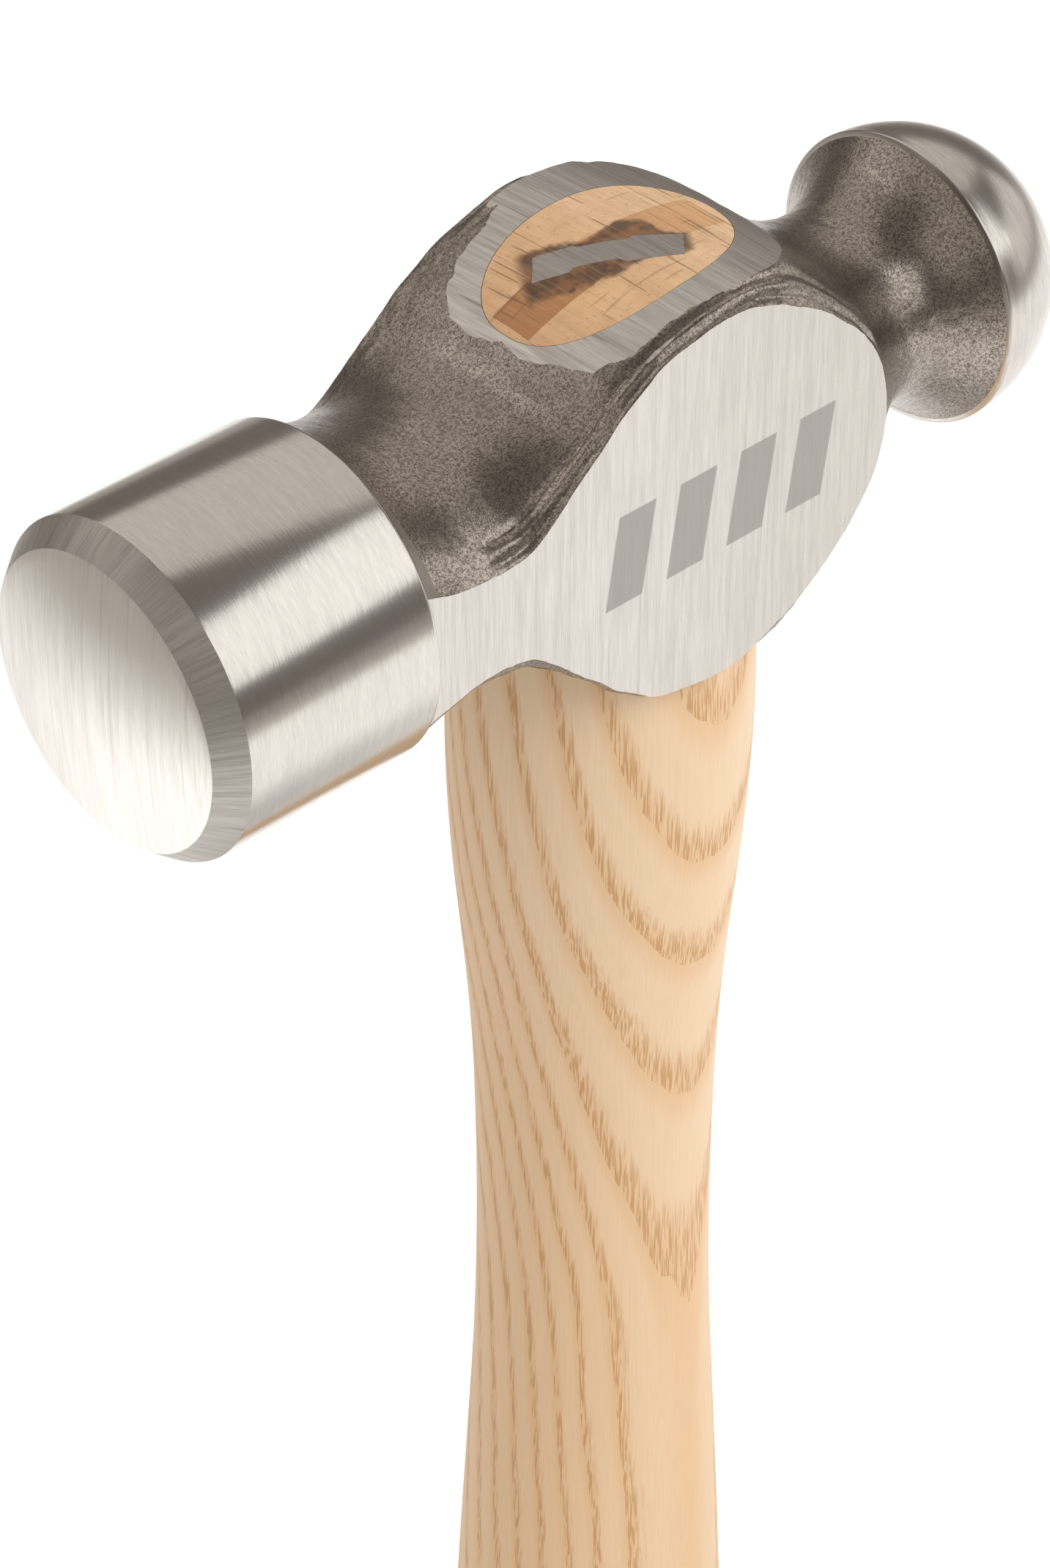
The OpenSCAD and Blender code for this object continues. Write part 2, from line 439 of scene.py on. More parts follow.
def build_poll():
    """Turned poll with its chamfer and crowned striking face."""
    rise = FACE_EDGE - FACE_TIP
    ball = (FACE_RADIUS**2 + rise**2) / (2 * rise)
    profile = [(FACE_TIP, 0.0)]
    for i in range(1, 17):
        r = FACE_RADIUS * 0.985 * i / 16
        profile.append((FACE_TIP + ball - math.sqrt(ball**2 - r**2), r))
    soft = 0.010
    slope = Vector((POLL_FRONT - FACE_EDGE, 1 - FACE_RADIUS)).normalized()
    profile += [
        (FACE_EDGE + 0.15 * soft, FACE_RADIUS),
        (FACE_EDGE + slope.x * 1.5 * soft, FACE_RADIUS + slope.y * 1.5 * soft),
        (POLL_FRONT - slope.x * soft, 1 - slope.y * soft),
        (POLL_FRONT + 0.3 * soft, 1 - 0.12 * soft),
        (POLL_FRONT + 1.6 * soft, 1.0),
        (POLL_BACK - 2.6 * soft, 1.0),
        (POLL_BACK - 1.2 * soft, 1 - 0.25 * soft),
        (POLL_BACK - 0.3 * soft, 1 - 1.0 * soft),
        (POLL_BACK, 1 - 2.2 * soft),
        (POLL_BACK, 0.45),
        (POLL_BACK, 0.0),
    ]
    piece = turned("poll", [(x * POLL, r * POLL) for x, r in profile], TURNED_STEPS)
    dress(piece, poll_steel)
    return piece


def build_peen():
    """Polished dome with a crisp rim."""
    profile = [(PEEN_CENTRE - 0.10, 0.0), (PEEN_CENTRE - 0.10, 0.5), (PEEN_RIM - 0.016, 0.893)]
    profile += [(PEEN_RIM - 0.010, 0.9065), (PEEN_RIM - 0.002, 0.9098)]
    start = math.asin((PEEN_RIM + 0.006 - PEEN_CENTRE) / PEEN_RADIUS)
    for i in range(0, 34):
        a = start + (math.pi / 2 - start) * i / 33
        profile.append((PEEN_CENTRE + PEEN_RADIUS * math.sin(a), PEEN_RADIUS * math.cos(a)))
    profile[-1] = (PEEN_CENTRE + PEEN_RADIUS, 0.0)
    piece = turned("peen", [(x * POLL, r * POLL) for x, r in profile], TURNED_STEPS)
    dress(piece, dome_steel)
    return piece


def eye_skin(name, grow):
    """The oval eye, grown or shrunk by a hair."""
    rings = []
    for z in np.linspace(EYE[0][0], EYE[-1][0], 25):
        _, a, b = smooth_row(EYE, z)
        x, y = oval(a + grow / POLL, b + grow / POLL, EYE_SQUARENESS, OVAL_POINTS)
        rings.append([(u * POLL, v * POLL, z * POLL) for u, v in zip(x, y)])
    return skin(name, rings)


def refinish(piece, old, new, test):
    """Gives the faces of one finish that pass the test another finish."""
    if new.name not in piece.data.materials:
        piece.data.materials.append(new)
    before = piece.data.materials.find(old.name)
    after = piece.data.materials.find(new.name)
    for poly in piece.data.polygons:
        if poly.material_index == before and test(poly.center / POLL, poly.normal):
            poly.material_index = after


def mark_borders(piece, corner=40):
    """Keeps an edge crisp where two finishes meet or where the surface turns sharply."""
    mesh = bmesh.new()
    mesh.from_mesh(piece.data)
    limit = math.radians(corner)
    for face in mesh.faces:
        face.smooth = True
    for edge in mesh.edges:
        if len(edge.link_faces) != 2:
            continue
        a, b = edge.link_faces
        edge.smooth = a.material_index == b.material_index and a.normal.angle(b.normal, 0) < limit
    mesh.to_mesh(piece.data)
    mesh.free()
    piece.data.update()


def build_head():
    piece = build_forging()
    combine(piece, build_poll(), "UNION")
    combine(piece, build_peen(), "UNION")
    eye = eye_skin("eye_cutter", 0.0)
    dress(eye, eye_steel)
    combine(piece, eye, "DIFFERENCE")
    piece.name = "hammer_head"

    refinish(piece, poll_steel, face_steel,
             lambda c, n: c.x < FACE_EDGE + 0.001 and math.hypot(c.y, c.z) < FACE_RADIUS)
    refinish(piece, poll_steel, chamfer_steel, lambda c, n: c.x < POLL_FRONT + 0.002)
    refinish(piece, forged_steel, cheek_steel,
             lambda c, n: abs(n.y) > 0.9999 and abs(abs(c.y) - CHEEK) < 0.001)
    refinish(piece, forged_steel, band_steel, lambda c, n: c.x < -2.06)
    mark_borders(piece)
    return lifted(piece)


# ---------------------------------------------------------------------------
# Handle and wedges
# ---------------------------------------------------------------------------

def handle_rows():
    rows = [(AXIS / POLL - d, h) for d, h in SHOULDER]
    rows += [(z, share * GRIP_HALF) for z, share in GRIP]
    return sorted(rows)


def build_stick():
    rows = handle_rows()
    top = rows[-1][0]
    places = [top * t for t in np.linspace(0, 1, 150)]
    foot = [0.0, 0.02, 0.05, 0.09, 0.14, 0.2]
    places = sorted(set(foot + [z for z in places if z > 0.22]))
    rings = []
    for z in places:
        _, a = smooth_row(rows, z)
        x, y = oval(a, a * FLATNESS, 2, HANDLE_POINTS)
        rings.append([(u * POLL, v * POLL, z * POLL) for u, v in zip(x, y)])
    return skin("stick", rings)


def wedge_outline(half, depth, tip):
    """Side view of a wedge, in poll radii from the crown down, running on above it."""
    spare = 0.27
    return [(-tip, -depth), (tip, -depth), (half, 0), (half, spare), (-half, spare), (-half, 0)]


def wood_wedge_blank(grow=0.0):
    g = grow / POLL
    points = [
        ((WOOD_WEDGE_ENDS[0] - g) * POLL, (y + math.copysign(g, y) + WOOD_WEDGE_SHIFT) * POLL,
         (z + CROWN_TOP - (g if z < -1 else 0)) * POLL)
        for y, z in wedge_outline(WOOD_WEDGE_HALF, WOOD_WEDGE_DEPTH, 0.02)
    ]
    length = (WOOD_WEDGE_ENDS[1] - WOOD_WEDGE_ENDS[0] + 2 * g) * POLL
    piece = outline_solid("wood_wedge_blank", points, (length, 0, 0))
    piece.data.transform(Matrix.Rotation(math.radians(WOOD_WEDGE_TURN), 4, "Z"))
    return piece


# Outline of the steel wedge, as shares of its half length and half width
STEEL_OUTLINE = (
    (-1.00, -0.90), (-0.52, -1.00), (-0.46, -0.72), (0.10, -0.78), (0.22, -1.15),
    (0.94, -1.10), (1.00, 0.90), (0.35, 1.05), (0.28, 0.85), (-0.35, 0.90),
    (-0.42, 1.08), (-0.92, 1.00),
)


def steel_wedge_blank(grow=0.0):
    g = grow / POLL
    bottom = CROWN_TOP - STEEL_WEDGE_DEPTH
    points = []
    for u, v in STEEL_OUTLINE:
        x = STEEL_WEDGE_HALF * u + math.copysign(g, u)
        y = STEEL_WEDGE_WIDE * v + math.copysign(g, v)
        points.append((x * POLL, y * POLL, bottom * POLL))
    piece = outline_solid("steel_wedge_blank", points, (0, 0, (STEEL_WEDGE_DEPTH + 0.27) * POLL))
    half = 0.7 * 2 * STEEL_WEDGE_WIDE
    side = [
        (-POLL, (y + math.copysign(g, y)) * POLL, (z + CROWN_TOP) * POLL)
        for y, z in wedge_outline(half, STEEL_WEDGE_DEPTH + 0.066, 0.02)
    ]
    combine(piece, outline_solid("wedge_side", side, (2 * POLL, 0, 0)), "INTERSECT")
    piece.data.transform(Matrix.Rotation(math.radians(STEEL_WEDGE_TURN), 4, "Z"))
    place = Vector((STEEL_WEDGE_PLACE[0], STEEL_WEDGE_PLACE[1], 0)) * POLL
    piece.data.transform(Matrix.Translation(place))
    return piece


def build_handle():
    piece = build_stick()
    seat = under_crown(-1)
    lifted(seat)
    combine(piece, seat, "DIFFERENCE")
    tenon = eye_skin("tenon", -GAP)
    combine(tenon, under_crown(1), "INTERSECT")
    combine(piece, lifted(tenon), "UNION")
    combine(piece, lifted(wood_wedge_blank()), "DIFFERENCE")
    combine(piece, lifted(steel_wedge_blank()), "DIFFERENCE")
    piece.name = "ash_handle"
    return piece


def build_wood_wedge():
    piece = wood_wedge_blank(-0.4 * GAP)
    combine(piece, steel_wedge_blank(), "DIFFERENCE")
    combine(piece, under_crown(1), "INTERSECT")
    piece.name = "wooden_wedge"
    return lifted(piece)


def build_steel_wedge():
    piece = steel_wedge_blank(-0.8 * GAP)
    combine(piece, under_crown(1), "INTERSECT")
    piece.name = "driven_wedge"
    return lifted(piece)


# ---------------------------------------------------------------------------
# Finishes
# ---------------------------------------------------------------------------

def node(tree, kind, inputs=None, **settings):
    """Adds a shader node; inputs may be values or sockets of other nodes."""
    made = tree.nodes.new("ShaderNode" + kind)
    for key, value in settings.items():
        setattr(made, key, value)
    for key, value in (inputs or {}).items():
        if isinstance(value, bpy.types.NodeSocket):
            tree.links.new(value, made.inputs[key])
        else:
            made.inputs[key].default_value = value
    return made


def calc(tree, how, *values, clamp=False):
    made = node(tree, "Math", dict(enumerate(values)), operation=how, use_clamp=clamp)
    return made.outputs[0]


def ramp(tree, value, low, high, start=0.0, end=1.0):
    """A smooth step from start to end as the value goes from low to high."""
    made = node(
        tree, "MapRange", {"Value": value, "From Min": low, "From Max": high,
                           "To Min": start, "To Max": end},
        interpolation_type="SMOOTHSTEP",
    )
    return made.outputs["Result"]


def ramp_line(tree, value, low, high):
    made = node(tree, "MapRange", {"Value": value, "From Min": low, "From Max": high})
    return made.outputs["Result"]


def stretch(tree, vector, scale, offset=(0, 0, 0)):
    scaled = node(tree, "VectorMath", {0: vector, 1: scale}, operation="MULTIPLY")
    if offset == (0, 0, 0):
        return scaled.outputs[0]
    return node(tree, "VectorMath", {0: scaled.outputs[0], 1: offset}, operation="ADD").outputs[0]


def noise(tree, vector, detail=2.0, rough=0.5):
    made = node(tree, "TexNoise", {"Vector": vector, "Scale": 1.0, "Detail": detail,
                                   "Roughness": rough})
    return made.outputs["Fac"]


def blend(tree, share, a, b, how="MIX"):
    made = node(tree, "Mix", {"Factor": share}, data_type="RGBA", blend_type=how)
    for key, value in (("A", a), ("B", b)):
        socket = [s for s in made.inputs if s.name == key and s.type == "RGBA"][0]
        if isinstance(value, bpy.types.NodeSocket):
            tree.links.new(value, socket)
        else:
            socket.default_value = (*value, 1) if len(value) == 3 else value
    return [s for s in made.outputs if s.type == "RGBA"][0]


def parts_of(tree, vector):
    made = node(tree, "SeparateXYZ", {0: vector})
    return made.outputs[0], made.outputs[1], made.outputs[2]


def new_group(name, inputs, outputs):
    """A shader node group; inputs are (label, kind, value) and outputs (label, kind)."""
    tree = bpy.data.node_groups.new(name, "ShaderNodeTree")
    for label, kind, value in inputs:
        socket = tree.interface.new_socket(
            label, in_out="INPUT", socket_type="NodeSocket" + kind
        )
        if value is not None:
            socket.default_value = value
    for label, kind in outputs:
        tree.interface.new_socket(label, in_out="OUTPUT", socket_type="NodeSocket" + kind)
    start = tree.nodes.new("NodeGroupInput")
    end = tree.nodes.new("NodeGroupOutput")
    return tree, start.outputs, end.inputs


def use(tree, grouped, inputs):
    made = tree.nodes.new("ShaderNodeGroup")
    made.node_tree = grouped
    for key, value in inputs.items():
        if isinstance(value, bpy.types.NodeSocket):
            tree.links.new(value, made.inputs[key])
        else:
            made.inputs[key].default_value = value
    return made.outputs


def new_material(name):
    """A material with a Principled shader, and the object's own coordinates."""
    mat = bpy.data.materials.new(name)
    mat.use_nodes = True
    tree = mat.node_tree
    tree.nodes.clear()
    surface = tree.nodes.new("ShaderNodeBsdfPrincipled")
    out = tree.nodes.new("ShaderNodeOutputMaterial")
    tree.links.new(surface.outputs[0], out.inputs[0])
    place = tree.nodes.new("ShaderNodeTexCoord").outputs["Object"]
    return mat, tree, surface, place


def relief(tree, surface, height, depth, strength=1.0):
    bump = node(tree, "Bump", {"Height": height, "Distance": depth, "Strength": strength})
    tree.links.new(bump.outputs[0], surface.inputs["Normal"])


# Fine grinding lines: the vector comes in stretched so that lines run along its slow axis.
lines_tree, src, dst = new_group(
    "fine lines", [("Vector", "Vector", None)], [("Lines", "Float"), ("Scratch", "Float")]
)
fine = noise(lines_tree, src["Vector"], 2, 0.6)
wide = stretch(lines_tree, src["Vector"], (0.22, 0.22, 0.35), (7, 3, 5))
broad = noise(lines_tree, wide, 1, 0.5)
both = calc(lines_tree, "MULTIPLY_ADD", fine, 0.62, calc(lines_tree, "MULTIPLY", broad, 0.38))
lines_tree.links.new(ramp(lines_tree, both, 0.30, 0.70), dst["Lines"])
deep = noise(lines_tree, stretch(lines_tree, src["Vector"], (0.7, 0.7, 0.16), (1, 9, 2)), 1, 0.4)
lines_tree.links.new(ramp(lines_tree, deep, 0.66, 0.72), dst["Scratch"])


def ground_steel(name, dark, light, rough, lines, bump, scratch, spread=0.03):
    """Bare steel with lines from a grinding belt; lines is called with the tree and place."""
    mat, tree, surface, place = new_material(name)
    out = use(tree, lines_tree, {"Vector": lines(tree, place)})
    colour = blend(tree, out["Lines"], dark, light)
    colour = blend(tree, calc(tree, "MULTIPLY", out["Scratch"], scratch), colour,
                   tuple(c * 0.45 for c in dark))
    tree.links.new(colour, surface.inputs["Base Color"])
    surface.inputs["Metallic"].default_value = 1.0
    tree.links.new(ramp(tree, out["Lines"], 0, 1, rough + spread, rough - spread),
                   surface.inputs["Roughness"])
    relief(tree, surface, out["Lines"], bump)
    return mat, tree, surface, place


def wedge_place(tree, place):
    """Coordinates along and across the steel wedge, in poll radii."""
    x, y, _ = parts_of(tree, place)
    x = calc(tree, "MULTIPLY_ADD", x, 1 / POLL, -STEEL_WEDGE_PLACE[0])
    y = calc(tree, "MULTIPLY_ADD", y, 1 / POLL, -STEEL_WEDGE_PLACE[1])
    turn = math.radians(STEEL_WEDGE_TURN)
    c, s = math.cos(turn), math.sin(turn)
    along = calc(tree, "ADD", calc(tree, "MULTIPLY", x, c), calc(tree, "MULTIPLY", y, s))
    across = calc(tree, "SUBTRACT", calc(tree, "MULTIPLY", y, c), calc(tree, "MULTIPLY", x, s))
    return along, across


# Cheek: lines run up and down
cheek_steel, tree, surface, place = ground_steel(
    "ground cheek", (0.54, 0.52, 0.495), (0.655, 0.635, 0.605), 0.30,
    lambda t, p: stretch(t, p, (7000, 300, 210)), bump=0.006 * MM, scratch=0.2,
)

# Four plain slanted bars etched on the near cheek
px, py, pz = parts_of(tree, place)
px = calc(tree, "MULTIPLY", px, 1 / POLL)
pz = calc(tree, "MULTIPLY_ADD", pz, 1 / POLL, -AXIS / POLL)
slid = calc(tree, "MULTIPLY_ADD", pz, -BAR_SLANT, px)
step = calc(tree, "DIVIDE", calc(tree, "SUBTRACT", slid, BAR_START), BAR_PITCH)
step = calc(tree, "FRACT", step)
bar_end = ramp(tree, step, BAR_SHARE, BAR_SHARE + 0.02, 1, 0)
bars = calc(tree, "MULTIPLY", ramp(tree, step, 0.0, 0.02), bar_end)
bars = calc(tree, "MULTIPLY", bars, ramp(tree, slid, BAR_START - 0.01, BAR_START))
bars = calc(tree, "MULTIPLY", bars, ramp(tree, slid, BAR_END, BAR_END + 0.01, 1, 0))
bars = calc(tree, "MULTIPLY", bars, ramp(tree, pz, BAR_FOOT - 0.01, BAR_FOOT))
bars = calc(tree, "MULTIPLY", bars, ramp(tree, pz, BAR_HEAD, BAR_HEAD + 0.01, 1, 0))
bars = calc(tree, "MULTIPLY", bars, calc(tree, "LESS_THAN", py, 0))
ground = surface.inputs["Base Color"].links[0].from_socket
# Painted shading: the cheek's colour darkens towards the peen end, standing in for its reflection
# fading there
painted_cheek_shading = ramp(tree, px, -1.2, 1.2, 0, 0.22)
ground = blend(tree, painted_cheek_shading, ground, (0.36, 0.33, 0.30))
tree.links.new(blend(tree, calc(tree, "MULTIPLY", bars, 0.85), ground, (0.30, 0.285, 0.27)),
               surface.inputs["Base Color"])

# Top and underside of the eye block, lines run across the head
crown_steel = ground_steel(
    "ground crown", (0.46, 0.44, 0.42), (0.66, 0.64, 0.61), 0.36,
    lambda t, p: stretch(t, p, (4600, 150, 300)), bump=0.012 * MM, scratch=0.45,
)[0]

# Turned poll: lines run round it
poll_steel = ground_steel(
    "turned poll", (0.58, 0.56, 0.535), (0.67, 0.65, 0.62), 0.175,
    lambda t, p: stretch(t, stretch(t, p, (1, 1, 1), (0, 0, -AXIS)), (9000, 800, 800)),
    bump=0.0025 * MM, scratch=0.08, spread=0.012,
)[0]

face_steel = ground_steel(
    "striking face", (0.63, 0.61, 0.585), (0.72, 0.70, 0.67), 0.17,
    lambda t, p: stretch(t, p, (300, 4200, 260)), bump=0.005 * MM, scratch=0.2,
)[0]


def radial(tree, place, across, along):
    """Lines that run straight out from the head's axis."""
    centred = stretch(tree, place, (1, 1, 1), (0, 0, -AXIS))
    flat = stretch(tree, centred, (0, 1, 1))
    way = node(tree, "VectorMath", {0: flat}, operation="NORMALIZE").outputs[0]
    way = stretch(tree, way, (across, across, across))
    x, _, _ = parts_of(tree, centred)
    x = calc(tree, "MULTIPLY", x, along)
    shift = node(tree, "CombineXYZ", {0: x}).outputs[0]
    return node(tree, "VectorMath", {0: way, 1: shift}, operation="ADD").outputs[0]


chamfer_steel = ground_steel(
    "chamfer", (0.42, 0.40, 0.38), (0.53, 0.51, 0.485), 0.50,
    lambda t, p: radial(t, p, 60, 250), bump=0.008 * MM, scratch=0.25,
)[0]

dome_steel = ground_steel(
    "polished dome", (0.53, 0.51, 0.485), (0.61, 0.59, 0.56), 0.24,
    lambda t, p: stretch(t, stretch(t, p, (1, 1, 1), (0, 0, -AXIS)), (6500, 700, 700)),
    bump=0.004 * MM, scratch=0.10,
)[0]

wedge_steel = ground_steel(
    "wedge steel", (0.33, 0.31, 0.29), (0.47, 0.45, 0.43), 0.36,
    lambda t, p: stretch(t, p, (4600, 150, 300)), bump=0.012 * MM, scratch=0.5,
)[0]

# Forged scale: dark, finely dimpled and glinting
forged_steel, tree, surface, place = new_material("forged scale")
grit = noise(tree, stretch(tree, place, (7400, 7400, 7400)), 2, 0.6)
dimple = noise(tree, stretch(tree, place, (3400, 3400, 3400)), 1, 0.5)
mottle = noise(tree, stretch(tree, place, (170, 170, 170)), 3, 0.6)
height = calc(tree, "MULTIPLY_ADD", grit, 0.65, calc(tree, "MULTIPLY", dimple, 0.35))
colour = blend(tree, ramp(tree, height, 0.36, 0.62), (0.14, 0.121, 0.105), (0.47, 0.425, 0.38))
colour = blend(tree, ramp(tree, mottle, 0.35, 0.65, 0, 0.25), colour, (0.20, 0.172, 0.15))
tree.links.new(colour, surface.inputs["Base Color"])
surface.inputs["Metallic"].default_value = 0.95
tree.links.new(ramp(tree, height, 0.35, 0.65, 0.31, 0.23), surface.inputs["Roughness"])
relief(tree, surface, height, 0.030 * MM, 0.8)

# Smoother dark band where the poll was turned down into the scale
band_steel, tree, surface, place = new_material("dark band")
mottle = noise(tree, stretch(tree, place, (900, 900, 900)), 2, 0.6)
tree.links.new(blend(tree, mottle, (0.24, 0.215, 0.19), (0.34, 0.31, 0.28)),
               surface.inputs["Base Color"])
surface.inputs["Metallic"].default_value = 0.85
surface.inputs["Roughness"].default_value = 0.46
relief(tree, surface, mottle, 0.03 * MM, 0.5)

eye_steel, tree, surface, place = new_material("eye wall")
surface.inputs["Base Color"].default_value = (0.05, 0.045, 0.04, 1)
surface.inputs["Metallic"].default_value = 0.6
surface.inputs["Roughness"].default_value = 0.7


# Depths at which growth rings start, in poll radii, and the width of the rings beyond them
RING_EDGES = (0.74, 0.50, 0.27, 0.05, -0.20, -0.44, -0.60, -0.73, -0.86, -1.00)
RING_TOP = 4
RING_WIDTH = 0.15

# Ash: growth rings lie almost flat to the cheeks, and lean a little along the handle
ash_tree, src, dst = new_group(
    "ash grain", [("Vector", "Vector", None)],
    [("Early", "Float"), ("Late", "Float"), ("Pores", "Float"), ("Fibre", "Float"),
     ("Cloud", "Float"), ("Depth", "Float")],
)
place = stretch(ash_tree, src["Vector"], (1, 1, 1), (0, 0, -AXIS))
px, py, pz = parts_of(ash_tree, place)
sway = noise(ash_tree, stretch(ash_tree, place, (38, 38, 16)), 1, 0.4)
ripple = noise(ash_tree, stretch(ash_tree, place, (320, 320, 60)), 1, 0.5)
depth = calc(ash_tree, "MULTIPLY", px, 0.22 / POLL)
depth = calc(ash_tree, "MULTIPLY_ADD", py, -0.975 / POLL, depth)
low = calc(ash_tree, "MULTIPLY", pz, 1 / POLL)
depth = calc(ash_tree, "MULTIPLY_ADD", calc(ash_tree, "SMOOTH_MAX", low, -5.9, 1.0), 0.13, depth)
depth = calc(ash_tree, "MULTIPLY_ADD", low, 0.05, depth)
depth = calc(ash_tree, "MULTIPLY_ADD", calc(ash_tree, "SUBTRACT", sway, 0.5), 0.22, depth)
depth = calc(ash_tree, "MULTIPLY_ADD", calc(ash_tree, "SUBTRACT", ripple, 0.5), 0.035, depth)
ash_tree.links.new(depth, dst["Depth"])
uneven = node(ash_tree, "FloatCurve", {"Value": ramp_line(ash_tree, depth, -1.0, 0.8)})
bend = uneven.mapping.curves[0]
for number, edge_depth in enumerate(RING_EDGES):
    at = ((edge_depth + 1.0) / 1.8, (RING_TOP - number - edge_depth / RING_WIDTH + 1) / 3.2)
    if number in (0, len(RING_EDGES) - 1):
        bend.points[-1 if number == 0 else 0].location = at
    else:
        bend.points.new(*at)
for point in bend.points:
    point.handle_type = "VECTOR"
uneven.mapping.update()
ring = calc(ash_tree, "MULTIPLY_ADD", uneven.outputs[0], 3.2, -1.0)
ring = calc(ash_tree, "MULTIPLY_ADD", depth, 1 / RING_WIDTH, ring)
inside = calc(ash_tree, "FRACT", ring)
ragged = noise(ash_tree, stretch(ash_tree, place, (2600, 2600, 180)), 1, 0.5)
edge = calc(ash_tree, "MULTIPLY_ADD", calc(ash_tree, "SUBTRACT", ragged, 0.5), 0.30, inside)
early = ramp(ash_tree, edge, 0.10, 0.36, 1, 0)
ash_tree.links.new(early, dst["Early"])
ash_tree.links.new(ramp(ash_tree, inside, 0.72, 1.0), dst["Late"])
dash = noise(ash_tree, stretch(ash_tree, place, (5600, 5600, 260)), 1, 0.5)
dash = ramp(ash_tree, dash, 0.47, 0.58)
ash_tree.links.new(calc(ash_tree, "MULTIPLY", dash, early), dst["Pores"])
ash_tree.links.new(noise(ash_tree, stretch(ash_tree, place, (5200, 5200, 110)), 2, 0.6),
                   dst["Fibre"])
ash_tree.links.new(noise(ash_tree, stretch(ash_tree, place, (110, 110, 22)), 2, 0.5),
                   dst["Cloud"])

PALE = (0.87, 0.670, 0.462)
TAN = (0.78, 0.475, 0.225)
PORE = (0.58, 0.300, 0.115)

ash, tree, surface, place = new_material("ash")
grain = use(tree, ash_tree, {"Vector": place})
colour = blend(tree, ramp(tree, grain["Cloud"], 0.3, 0.75, 0, 0.15), PALE, TAN)
colour = blend(tree, ramp(tree, grain["Depth"], -0.9, -0.2, 0.40, 0), colour, TAN)
colour = blend(tree, calc(tree, "MULTIPLY", grain["Late"], 0.50), colour, TAN)
colour = blend(tree, calc(tree, "MULTIPLY", grain["Early"], 0.52), colour, TAN)
colour = blend(tree, ramp(tree, grain["Fibre"], 0.35, 0.7, 0, 0.16), colour, (0.66, 0.44, 0.26))
colour = blend(tree, calc(tree, "MULTIPLY", grain["Pores"], 0.80), colour, PORE)
tree.links.new(colour, surface.inputs["Base Color"])
surface.inputs["Roughness"].default_value = 0.48
surface.inputs["Specular IOR Level"].default_value = 0.35
sunk = calc(tree, "SUBTRACT", calc(tree, "MULTIPLY", grain["Fibre"], 0.15), grain["Pores"])
relief(tree, surface, sunk, 0.05 * MM, 0.6)


# Where driving the steel wedge and grinding it flush scorched the wood
scorch_tree, src, dst = new_group("scorch", [("Vector", "Vector", None)], [("Burnt", "Float")])
along, across = wedge_place(scorch_tree, src["Vector"])
drift = noise(scorch_tree, stretch(scorch_tree, src["Vector"], (420, 420, 420)), 2, 0.6)
drift = calc(scorch_tree, "SUBTRACT", drift, 0.5)
near_reach = ramp(scorch_tree, along, -0.20, 0.30, 0.17, 0.02)
near_reach = calc(scorch_tree, "MULTIPLY", near_reach, ramp(scorch_tree, along, -0.52, -0.46))
far_right = calc(scorch_tree, "MULTIPLY", ramp(scorch_tree, along, -0.12, 0.12, 0.0, 0.17),
                 ramp(scorch_tree, along, 0.20, 0.34, 1, 0))
far_left = calc(scorch_tree, "MULTIPLY", ramp(scorch_tree, along, -0.62, -0.56, 0.0, 0.09),
                ramp(scorch_tree, along, -0.34, -0.10, 1, 0.35))
far_reach = calc(scorch_tree, "ADD", far_right, far_left)
beyond_near = calc(scorch_tree, "SUBTRACT", calc(scorch_tree, "MULTIPLY", across, -1), 0.10)
beyond_far = calc(scorch_tree, "SUBTRACT", across, 0.10)
near_mark = calc(scorch_tree, "SUBTRACT", near_reach, beyond_near)
far_mark = calc(scorch_tree, "SUBTRACT", far_reach, beyond_far)
is_far = calc(scorch_tree, "GREATER_THAN", across, 0)
mark = calc(scorch_tree, "ADD", calc(scorch_tree, "MULTIPLY", is_far, far_mark),
            calc(scorch_tree, "MULTIPLY", calc(scorch_tree, "SUBTRACT", 1, is_far), near_mark))
mark = calc(scorch_tree, "MULTIPLY_ADD", drift, 0.16, mark)
ends = calc(scorch_tree, "MULTIPLY", ramp(scorch_tree, along, -0.52, -0.44),
            ramp(scorch_tree, along, 0.43, 0.49, 1, 0))
burnt = calc(scorch_tree, "MULTIPLY", ramp(scorch_tree, mark, -0.01, 0.05), ends)
scorch_tree.links.new(burnt, dst["Burnt"])

# End grain, ground flush together with the crown so that the same lines cross it
end_tree, src, dst = new_group(
    "end grain", [("Vector", "Vector", None), ("Colour", "Color", (1, 1, 1, 1))],
    [("Colour", "Color"), ("Height", "Float")],
)
place = src["Vector"]
scratches = use(end_tree, lines_tree, {"Vector": stretch(end_tree, place, (3300, 110, 110))})
stain = noise(end_tree, stretch(end_tree, place, (260, 260, 260)), 3, 0.6)
check = noise(end_tree, stretch(end_tree, place, (3000, 110, 110), (4, 2, 0)), 1, 0.5)
check = ramp(end_tree, check, 0.66, 0.72)
cross = noise(end_tree, stretch(end_tree, place, (160, 1500, 160), (2, 8, 0)), 1, 0.5)
cross = ramp(end_tree, cross, 0.68, 0.72)
speck = noise(end_tree, stretch(end_tree, place, (2600, 2600, 400)), 1, 0.5)
lines = scratches["Lines"]
share = ramp(end_tree, stain, 0.35, 0.7, 0, 0.25)
colour = blend(end_tree, share, src["Colour"], (0.52, 0.29, 0.13))
colour = blend(end_tree, ramp(end_tree, lines, 0, 1, 0.20, 0), colour, (0.40, 0.22, 0.11))
colour = blend(end_tree, ramp(end_tree, lines, 0.7, 1, 0, 0.25), colour, (0.90, 0.66, 0.42))
colour = blend(end_tree, ramp(end_tree, speck, 0.62, 0.72, 0, 0.3), colour, (0.42, 0.22, 0.10))
colour = blend(end_tree, calc(end_tree, "MULTIPLY", check, 0.6), colour, (0.24, 0.13, 0.07))
